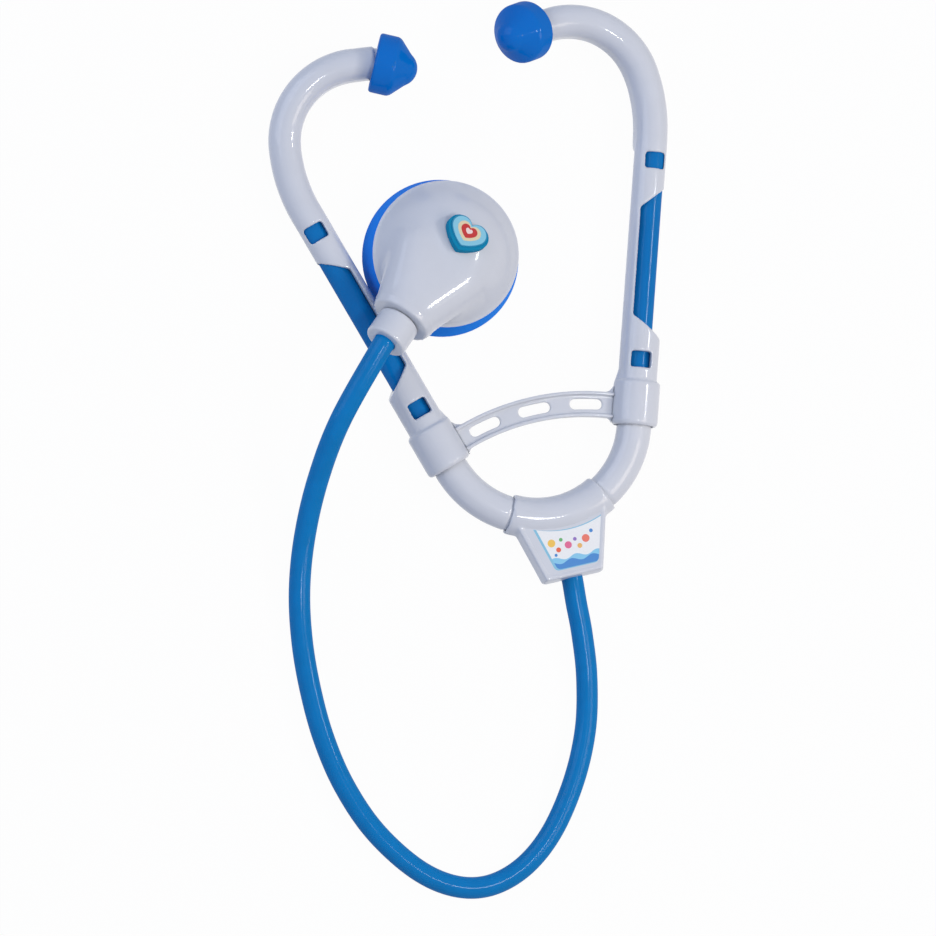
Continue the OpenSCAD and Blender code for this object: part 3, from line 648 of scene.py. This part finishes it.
def add_floor(rgb):
    """Pale table, lightened where it is seen directly, so that it keeps only a faint shadow."""
    material, tree = new_material("pale_table")
    matte = node(tree, "ShaderNodeBsdfDiffuse", {"Color": (*rgb, 1)})
    glow = node(tree, "ShaderNodeEmission", {"Color": WHITE, "Strength": 1.0})
    share = node(tree, "ShaderNodeMath", {0: seen_directly(tree), 1: FLOOR_GLOW}, operation="MULTIPLY")
    mix = node(tree, "ShaderNodeMixShader", {0: share.outputs[0], 1: matte.outputs[0], 2: glow.outputs[0]})
    node(tree, "ShaderNodeOutputMaterial", {"Surface": mix.outputs[0]})
    bm = bmesh.new()
    bmesh.ops.create_grid(bm, x_segments=2, y_segments=2, size=FLOOR_REACH)
    floor = make_object("floor", bm, material)
    floor.location.z = -FLOOR_DROP_MM * MM


class STETHOSCOPE_OT_stage(bpy.types.Operator):
    """Sets up the camera, the lamps and the table"""

    bl_idname = "stethoscope.stage"
    bl_label = "Stage"

    def execute(self, context):
        add_camera()
        for name, lamp in LAMPS.items():
            add_lamp(name, *lamp)
        add_world()
        add_floor(context.scene.stethoscope_colours.floor)
        context.scene.view_settings.view_transform = "Standard"
        return {"FINISHED"}


# Pieces


class STETHOSCOPE_OT_hose(bpy.types.Operator):
    """Lays the hose along its route"""

    bl_idname = "stethoscope.hose"
    bl_label = "Hose"

    def execute(self, context):
        neck_end, stem = neck_and_stem()
        points = [Vector(p) * MM for p in HOSE_ROUTE_MM]
        points += [neck_end + out * MM * stem for out in HOSE_END_MM]
        diameter = context.scene.stethoscope_sizes.hose_diameter
        curve = bpy.data.curves.new("hose_line", "CURVE")
        curve.dimensions = "3D"
        curve.bevel_depth = diameter / 2
        curve.bevel_resolution = HOSE_GIRTH_FINENESS
        curve.resolution_u = HOSE_SPAN_STEPS
        curve.use_fill_caps = True
        line = curve.splines.new("BEZIER")
        line.bezier_points.add(len(points) - 1)
        for i, knot in enumerate(line.bezier_points):
            before, after = points[max(i - 1, 0)], points[min(i + 1, len(points) - 1)]
            knot.co = points[i]
            knot.handle_left = points[i] - (after - before) / HOSE_EASE
            knot.handle_right = points[i] + (after - before) / HOSE_EASE
        curve.materials.append(finish("vinyl_hose"))
        hose = bpy.data.objects.new("hose_line", curve)
        context.scene.collection.objects.link(hose)
        stand_for(hose, "hose")
        return {"FINISHED"}


class STETHOSCOPE_OT_arms(bpy.types.Operator):
    """Finishes the ear arms, their inner tubes and the ear tips"""

    bl_idname = "stethoscope.arms"
    bl_label = "Ear arms"

    def execute(self, context):
        for side in SIDES:
            soft_moulding(side + "_arm", finish("white_abs"), ARM_SKIN, on_hook_back, HOOK_ROUNDS)
            soft_moulding(side + "_ear_tip", finish("blue_abs"), EAR_TIP_SKIN)
            paint(side + "_arm_tube", finish("tube_abs"))
        return {"FINISHED"}


class STETHOSCOPE_OT_yoke(bpy.types.Operator):
    """Finishes the bow tubes, the T block, its screws and the hinge pins"""

    bl_idname = "stethoscope.yoke"
    bl_label = "Yoke"

    def execute(self, context):
        for side in SIDES:
            soft_moulding(side + "_yoke_tube", finish("white_abs"), BOW_TUBE_SKIN)
            paint(side + "_hinge_pin", finish("white_abs"))
        soft_moulding("yoke_back_shell", finish("white_abs"), BACK_SHELL_SKIN)
        soft_moulding("yoke_front_shell", finish("white_abs"), FRONT_SHELL_SKIN,
                      at_block_end, BLOCK_END_ROUNDS)
        paint("shell_screws", finish("zinc_plate"))
        return {"FINISHED"}


class STETHOSCOPE_OT_strap(bpy.types.Operator):
    """Finishes the leaf spring, cut into a left and a right half"""

    bl_idname = "stethoscope.strap"
    bl_label = "Leaf spring"

    def execute(self, context):
        for side, sign in zip(SIDES, (-1, 1)):
            bm = soft_skin("leaf_spring", STRAP_SKIN)
            bmesh.ops.bisect_plane(bm, geom=bm.verts[:] + bm.edges[:] + bm.faces[:], dist=CUT_MM * MM,
                                   plane_co=(0, 0, 0), plane_no=(sign, 0, 0), clear_inner=True)
            bmesh.ops.holes_fill(bm, edges=[e for e in bm.edges if e.is_boundary])
            half = make_object(side + "_strap", bm, finish("white_abs"))
            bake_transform(half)
            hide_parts("leaf_spring")
        return {"FINISHED"}


class STETHOSCOPE_OT_label(bpy.types.Operator):
    """Prints the T block's label"""

    bl_idname = "stethoscope.label"
    bl_label = "Label"

    def execute(self, context):
        bm = sticker_mesh("front_label")
        low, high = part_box("front_label")
        middle = (low + high) / 2
        stack(bm, middle + Vector(LABEL_AIM_MM) * MM, Vector((0, 0, 1)), LABEL_SHARES)
        inks = [finish(key) for key in ("white_abs", "border_ink", "label_print")]
        stand_for(make_object("printed_label", bm, *inks), "front_label")
        return {"FINISHED"}


class STETHOSCOPE_OT_chest(bpy.types.Operator):
    """Finishes the chest piece: its ring, film, ferrule, and the dome that flows into its neck"""

    bl_idname = "stethoscope.chest"
    bl_label = "Chest piece"

    def execute(self, context):
        soft_moulding("chest_ring", finish("ring_abs"), RING_SKIN)
        soft_moulding("stem_ferrule", finish("white_abs"), FERRULE_SKIN)
        paint("diaphragm", finish("frosted_film"))
        neck_end, stem = neck_and_stem()
        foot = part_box("chest_ring")[1].z
        lip = foot + LIP_MM * MM
        bm = even_skin(node_mesh("chest_dome"), context.scene.stethoscope_sizes.skin)
        soften(bm, [v for v in bm.verts if v.co.z > lip], DOME_ROUNDS)
        flow = [v for v in bm.verts if v.co.z > lip and (neck_end - v.co).dot(stem) > NECK_END_MM * MM]
        soften(bm, flow, FLOW_ROUNDS)
        true_foot(bm, foot)
        stand_for(make_object("chest_dome_skin", bm, finish("white_abs")), "chest_dome")
        return {"FINISHED"}


class STETHOSCOPE_OT_heart(bpy.types.Operator):
    """Finishes the heart badge and prints its nested hearts"""

    bl_idname = "stethoscope.heart"
    bl_label = "Heart badge"

    def execute(self, context):
        soft_moulding("heart_badge", finish("teal_abs"), BADGE_SKIN)
        bm = sticker_mesh("heart_sticker")
        face = max(bm.faces, key=lambda f: f.calc_area() * f.normal.z)
        normal, middle = face.normal.copy(), face.calc_center_median()
        stack(bm, middle, normal, HEART_SHARES)
        inks = [finish(key) for key in HEART_INKS]
        stand_for(make_object("printed_heart", bm, *inks), "heart_sticker")
        return {"FINISHED"}


class STETHOSCOPE_PT_sidebar(bpy.types.Panel):
    """Lists the pieces and the sizes and colours that can be changed"""

    bl_idname = "STETHOSCOPE_PT_sidebar"
    bl_label = "Stethoscope"
    bl_space_type = "VIEW_3D"
    bl_region_type = "UI"
    bl_category = "Stethoscope"

    def draw(self, context):
        for group in (context.scene.stethoscope_sizes, context.scene.stethoscope_colours):
            for key in group.__annotations__:
                self.layout.prop(group, key)
        for operator in OPERATORS:
            self.layout.operator(operator.bl_idname)


OPERATORS = (
    STETHOSCOPE_OT_stage, STETHOSCOPE_OT_hose, STETHOSCOPE_OT_arms, STETHOSCOPE_OT_yoke,
    STETHOSCOPE_OT_strap, STETHOSCOPE_OT_label, STETHOSCOPE_OT_chest, STETHOSCOPE_OT_heart,
)
CLASSES = (StethoscopeColours, StethoscopeSizes, *OPERATORS, STETHOSCOPE_PT_sidebar)


def register():
    """Adds the classes, and the colours and sizes to the scene."""
    for cls in CLASSES:
        bpy.utils.register_class(cls)
    bpy.types.Scene.stethoscope_colours = bpy.props.PointerProperty(type=StethoscopeColours)
    bpy.types.Scene.stethoscope_sizes = bpy.props.PointerProperty(type=StethoscopeSizes)


def unregister():
    """Takes out what register added."""
    del bpy.types.Scene.stethoscope_sizes
    del bpy.types.Scene.stethoscope_colours
    for cls in reversed(CLASSES):
        bpy.utils.unregister_class(cls)


def main():
    """Makes the stage and every piece."""
    register()
    bpy.ops.stethoscope.stage()
    bpy.ops.stethoscope.hose()
    bpy.ops.stethoscope.arms()
    bpy.ops.stethoscope.yoke()
    bpy.ops.stethoscope.strap()
    bpy.ops.stethoscope.label()
    bpy.ops.stethoscope.chest()
    bpy.ops.stethoscope.heart()


if __name__ == "__main__":
    main()
